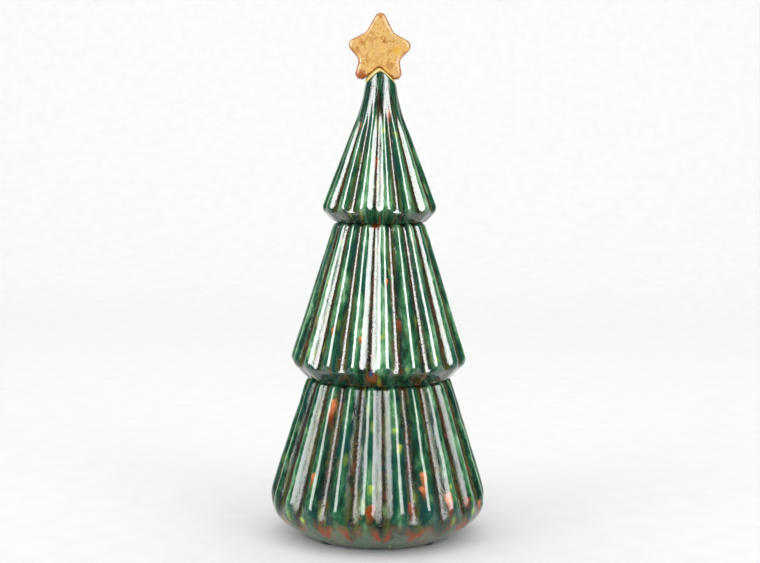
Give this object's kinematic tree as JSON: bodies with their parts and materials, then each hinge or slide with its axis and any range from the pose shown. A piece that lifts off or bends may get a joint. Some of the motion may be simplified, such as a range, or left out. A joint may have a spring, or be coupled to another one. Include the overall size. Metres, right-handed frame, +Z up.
{
  "type": "ceramic christmas tree",
  "caption": "Tiered, fluted ceramic Christmas tree with rounded undercut lips, a bowl-shaped base and a thick star astride its tip: a free-standing table decoration.",
  "frame": {"origin": "centre of the tree's footprint, on the surface that its pads stand on", "axes": "+Z up along the tree's axis, with the face of the star towards -Y"},
  "size_m": [0.1246, 0.1244, 0.2992],
  "materials": {
    "green_glaze": "gloss",
    "gold_glaze": "gloss",
    "yellow_bead": "gloss",
    "fired_slip": "matte",
    "felt": "matte"
  },
  "bodies": {
    "root": {"bottom_tier": "green_glaze", "middle_tier": "green_glaze", "top_tier": "green_glaze", "star": "gold_glaze", "star_saddle": "yellow_bead", "lower_luting_ring": "fired_slip", "upper_luting_ring": "fired_slip", "felt_pad_1": "felt", "felt_pad_2": "felt", "felt_pad_3": "felt", "felt_pad_4": "felt"}
  },
  "joints": []
}
